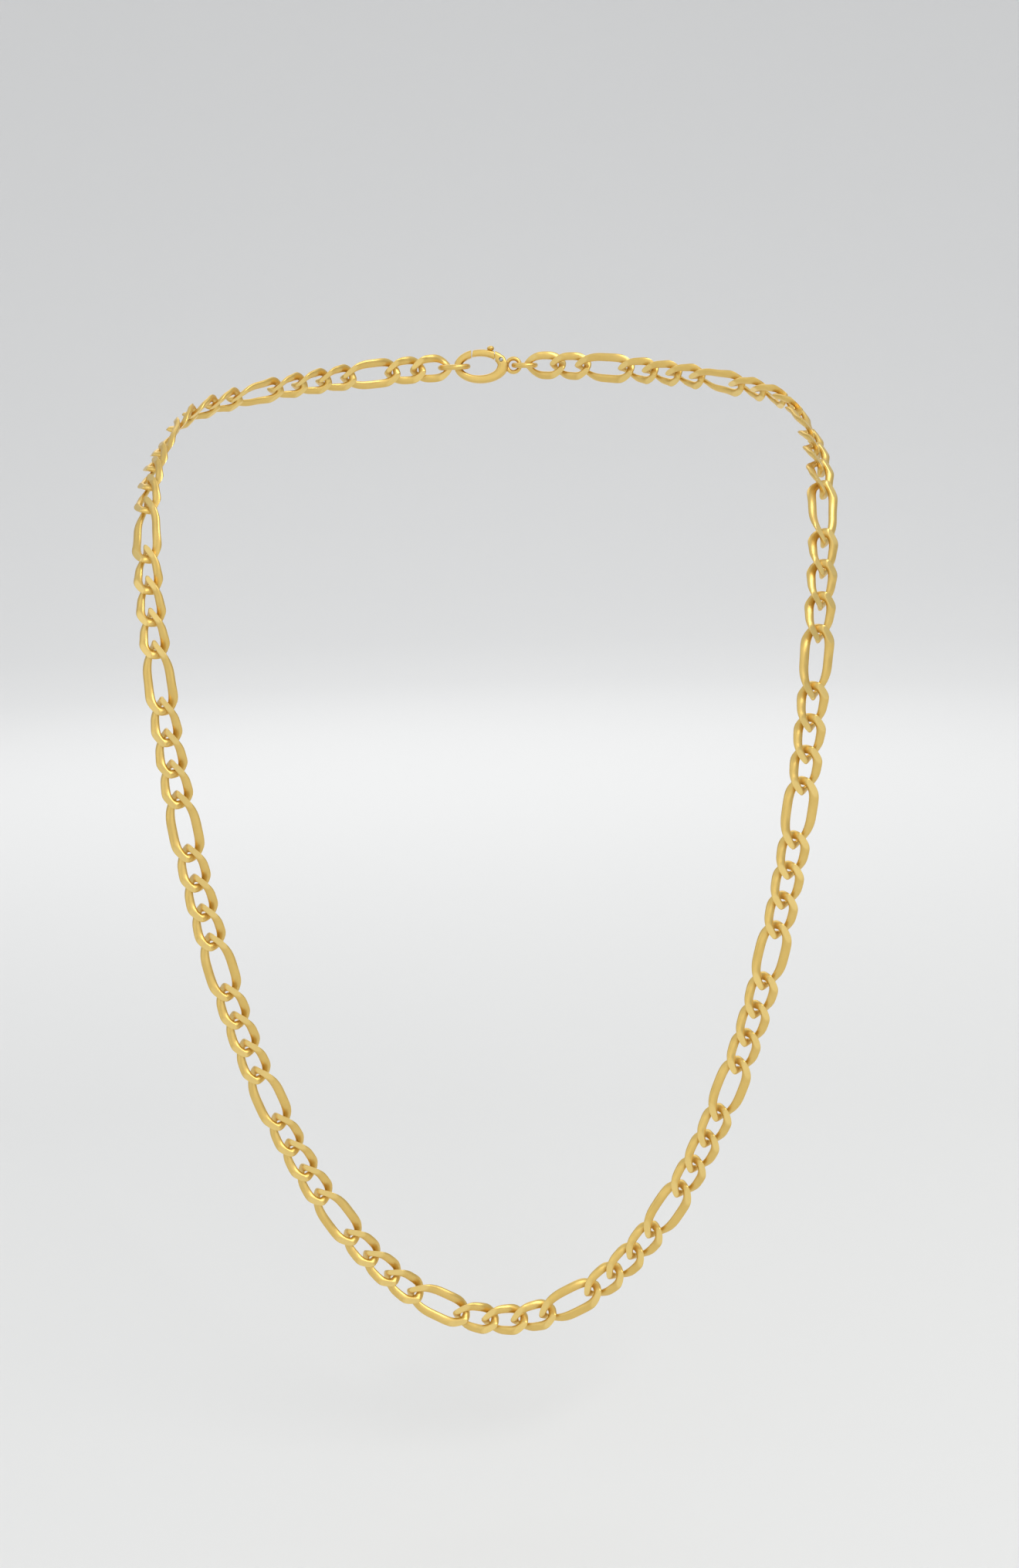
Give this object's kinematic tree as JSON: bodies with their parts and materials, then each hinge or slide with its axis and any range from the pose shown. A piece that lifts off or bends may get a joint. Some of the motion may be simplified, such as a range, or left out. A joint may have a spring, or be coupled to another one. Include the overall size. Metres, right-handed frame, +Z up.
{
  "type": "chain necklace",
  "caption": "Flat figaro chain necklace in yellow gold colour, with short and long curb links in turn, closed at the nape by a lobster clasp.",
  "frame": {"origin": "the middle of the neck that the necklace is worn on, level with the tops of the shoulders", "axes": "+Z up, -Y to the front of the wearer, +X to the wearer's left"},
  "size_m": [0.137, 0.0807, 0.2073],
  "materials": {
    "gold": "polished yellow gold colour, filed flat on both faces",
    "steel": "plain spring steel"
  },
  "bodies": {
    "neck_runs": {"left_neck_run": "gold", "right_neck_run": "gold"},
    "clasp": {"clasp_body": "gold", "clasp_pin": "steel", "clasp_spring": "steel"},
    "clasp_gate": {"clasp_gate": "gold"},
    "clasp_ring": {"clasp_ring": "gold"},
    "end_ring": {"end_ring": "gold"},
    "link_pair_01": {"left_link_01": "gold", "right_link_01": "gold"},
    "link_pair_02": {"left_link_02": "gold", "right_link_02": "gold"},
    "link_pair_03": {"left_link_03": "gold", "right_link_03": "gold"},
    "link_pair_04": {"left_link_04": "gold", "right_link_04": "gold"},
    "link_pair_05": {"left_link_05": "gold", "right_link_05": "gold"},
    "link_pair_06": {"left_link_06": "gold", "right_link_06": "gold"},
    "link_pair_07": {"left_link_07": "gold", "right_link_07": "gold"},
    "link_pair_08": {"left_link_08": "gold", "right_link_08": "gold"},
    "link_pair_09": {"left_link_09": "gold", "right_link_09": "gold"},
    "link_pair_10": {"left_link_10": "gold", "right_link_10": "gold"},
    "link_pair_11": {"left_link_11": "gold", "right_link_11": "gold"},
    "link_pair_12": {"left_link_12": "gold", "right_link_12": "gold"},
    "link_pair_13": {"left_link_13": "gold", "right_link_13": "gold"},
    "link_pair_14": {"left_link_14": "gold", "right_link_14": "gold"},
    "link_pair_15": {"left_link_15": "gold", "right_link_15": "gold"},
    "link_pair_16": {"left_link_16": "gold", "right_link_16": "gold"},
    "link_pair_17": {"left_link_17": "gold", "right_link_17": "gold"},
    "link_pair_18": {"left_link_18": "gold", "right_link_18": "gold"},
    "link_pair_19": {"left_link_19": "gold", "right_link_19": "gold"},
    "link_pair_20": {"left_link_20": "gold", "right_link_20": "gold"},
    "link_pair_21": {"left_link_21": "gold", "right_link_21": "gold"},
    "link_pair_22": {"left_link_22": "gold", "right_link_22": "gold"},
    "link_pair_23": {"left_link_23": "gold", "right_link_23": "gold"},
    "link_pair_24": {"left_link_24": "gold", "right_link_24": "gold"},
    "link_pair_25": {"left_link_25": "gold", "right_link_25": "gold"},
    "middle_link": {"middle_link": "gold"}
  },
  "joints": [
    {"name": "clasp_roll", "type": "hinge", "parent": "neck_runs", "child": "clasp", "pos_m": [0, 0.03942, 0.01388], "axis": [1, 0, 0], "range_deg": [-12, 12]},
    {"name": "clasp_gate_hinge", "type": "hinge", "parent": "clasp", "child": "clasp_gate", "pos_m": [0.0031, 0.03942, 0.01518], "axis": [0, -1, 0], "range_deg": [0, 24], "stiffness_Nm_per_rad": 0.002, "springref_deg": -28.65},
    {"name": "clasp_ring_turn", "type": "hinge", "parent": "neck_runs", "child": "clasp_ring", "pos_m": [0.00858, 0.03915, 0.01381], "axis": [0.0224, -0.1159, 0.993], "continuous": true},
    {"name": "end_ring_turn", "type": "hinge", "parent": "neck_runs", "child": "end_ring", "pos_m": [-0.00796, 0.03922, 0.01383], "axis": [-0.0223, -0.106, 0.9941], "continuous": true},
    {"name": "sway_01", "type": "hinge", "parent": "neck_runs", "child": "link_pair_01", "pos_m": [0.06455, -0.03051, -0.02568], "axis": [1, 0, 0], "range_deg": [-15, 15]},
    {"name": "sway_02", "type": "hinge", "parent": "link_pair_01", "child": "link_pair_02", "pos_m": [0.06404, -0.03271, -0.0314], "axis": [-1, 0, 0], "range_deg": [-15, 15]},
    {"name": "sway_03", "type": "hinge", "parent": "link_pair_02", "child": "link_pair_03", "pos_m": [0.06352, -0.03425, -0.03734], "axis": [1, 0, 0], "range_deg": [-15, 15]},
    {"name": "sway_04", "type": "hinge", "parent": "link_pair_03", "child": "link_pair_04", "pos_m": [0.06302, -0.03524, -0.0434], "axis": [-1, 0, 0], "range_deg": [-15, 15]},
    {"name": "sway_05", "type": "hinge", "parent": "link_pair_04", "child": "link_pair_05", "pos_m": [0.06218, -0.03598, -0.05418], "axis": [1, 0, 0], "range_deg": [-15, 15]},
    {"name": "sway_06", "type": "hinge", "parent": "link_pair_05", "child": "link_pair_06", "pos_m": [0.06171, -0.036, -0.06032], "axis": [-1, 0, 0], "range_deg": [-15, 15]},
    {"name": "sway_07", "type": "hinge", "parent": "link_pair_06", "child": "link_pair_07", "pos_m": [0.06116, -0.036, -0.06645], "axis": [1, 0, 0], "range_deg": [-15, 15]},
    {"name": "sway_08", "type": "hinge", "parent": "link_pair_07", "child": "link_pair_08", "pos_m": [0.06051, -0.036, -0.07258], "axis": [-1, 0, 0], "range_deg": [-15, 15]},
    {"name": "sway_09", "type": "hinge", "parent": "link_pair_08", "child": "link_pair_09", "pos_m": [0.05911, -0.036, -0.08333], "axis": [1, 0, 0], "range_deg": [-15, 15]},
    {"name": "sway_10", "type": "hinge", "parent": "link_pair_09", "child": "link_pair_10", "pos_m": [0.05817, -0.036, -0.08942], "axis": [-1, 0, 0], "range_deg": [-15, 15]},
    {"name": "sway_11", "type": "hinge", "parent": "link_pair_10", "child": "link_pair_11", "pos_m": [0.05712, -0.036, -0.09549], "axis": [1, 0, 0], "range_deg": [-15, 15]},
    {"name": "sway_12", "type": "hinge", "parent": "link_pair_11", "child": "link_pair_12", "pos_m": [0.05595, -0.036, -0.10153], "axis": [-1, 0, 0], "range_deg": [-15, 15]},
    {"name": "sway_13", "type": "hinge", "parent": "link_pair_12", "child": "link_pair_13", "pos_m": [0.05358, -0.036, -0.11211], "axis": [1, 0, 0], "range_deg": [-15, 15]},
    {"name": "sway_14", "type": "hinge", "parent": "link_pair_13", "child": "link_pair_14", "pos_m": [0.05204, -0.036, -0.11808], "axis": [-1, 0, 0], "range_deg": [-15, 15]},
    {"name": "sway_15", "type": "hinge", "parent": "link_pair_14", "child": "link_pair_15", "pos_m": [0.05036, -0.036, -0.124], "axis": [1, 0, 0], "range_deg": [-15, 15]},
    {"name": "sway_16", "type": "hinge", "parent": "link_pair_15", "child": "link_pair_16", "pos_m": [0.04851, -0.036, -0.12988], "axis": [-1, 0, 0], "range_deg": [-15, 15]},
    {"name": "sway_17", "type": "hinge", "parent": "link_pair_16", "child": "link_pair_17", "pos_m": [0.04482, -0.036, -0.14007], "axis": [1, 0, 0], "range_deg": [-15, 15]},
    {"name": "sway_18", "type": "hinge", "parent": "link_pair_17", "child": "link_pair_18", "pos_m": [0.04245, -0.036, -0.14575], "axis": [-1, 0, 0], "range_deg": [-15, 15]},
    {"name": "sway_19", "type": "hinge", "parent": "link_pair_18", "child": "link_pair_19", "pos_m": [0.03985, -0.036, -0.15134], "axis": [1, 0, 0], "range_deg": [-15, 15]},
    {"name": "sway_20", "type": "hinge", "parent": "link_pair_19", "child": "link_pair_20", "pos_m": [0.03699, -0.036, -0.15679], "axis": [-1, 0, 0], "range_deg": [-15, 15]},
    {"name": "sway_21", "type": "hinge", "parent": "link_pair_20", "child": "link_pair_21", "pos_m": [0.03122, -0.036, -0.16597], "axis": [1, 0, 0], "range_deg": [-15, 15]},
    {"name": "sway_22", "type": "hinge", "parent": "link_pair_21", "child": "link_pair_22", "pos_m": [0.02745, -0.036, -0.17083], "axis": [-1, 0, 0], "range_deg": [-15, 15]},
    {"name": "sway_23", "type": "hinge", "parent": "link_pair_22", "child": "link_pair_23", "pos_m": [0.02325, -0.036, -0.17533], "axis": [1, 0, 0], "range_deg": [-15, 15]},
    {"name": "sway_24", "type": "hinge", "parent": "link_pair_23", "child": "link_pair_24", "pos_m": [0.01858, -0.036, -0.17932], "axis": [-1, 0, 0], "range_deg": [-12, 12]},
    {"name": "sway_25", "type": "hinge", "parent": "link_pair_24", "child": "link_pair_25", "pos_m": [0.00906, -0.036, -0.18446], "axis": [1, 0, 0], "range_deg": [-12, 12]},
    {"name": "middle_sway", "type": "hinge", "parent": "link_pair_25", "child": "middle_link", "pos_m": [0.00307, -0.036, -0.18583], "axis": [-1, 0, 0], "range_deg": [-12, 12]}
  ]
}
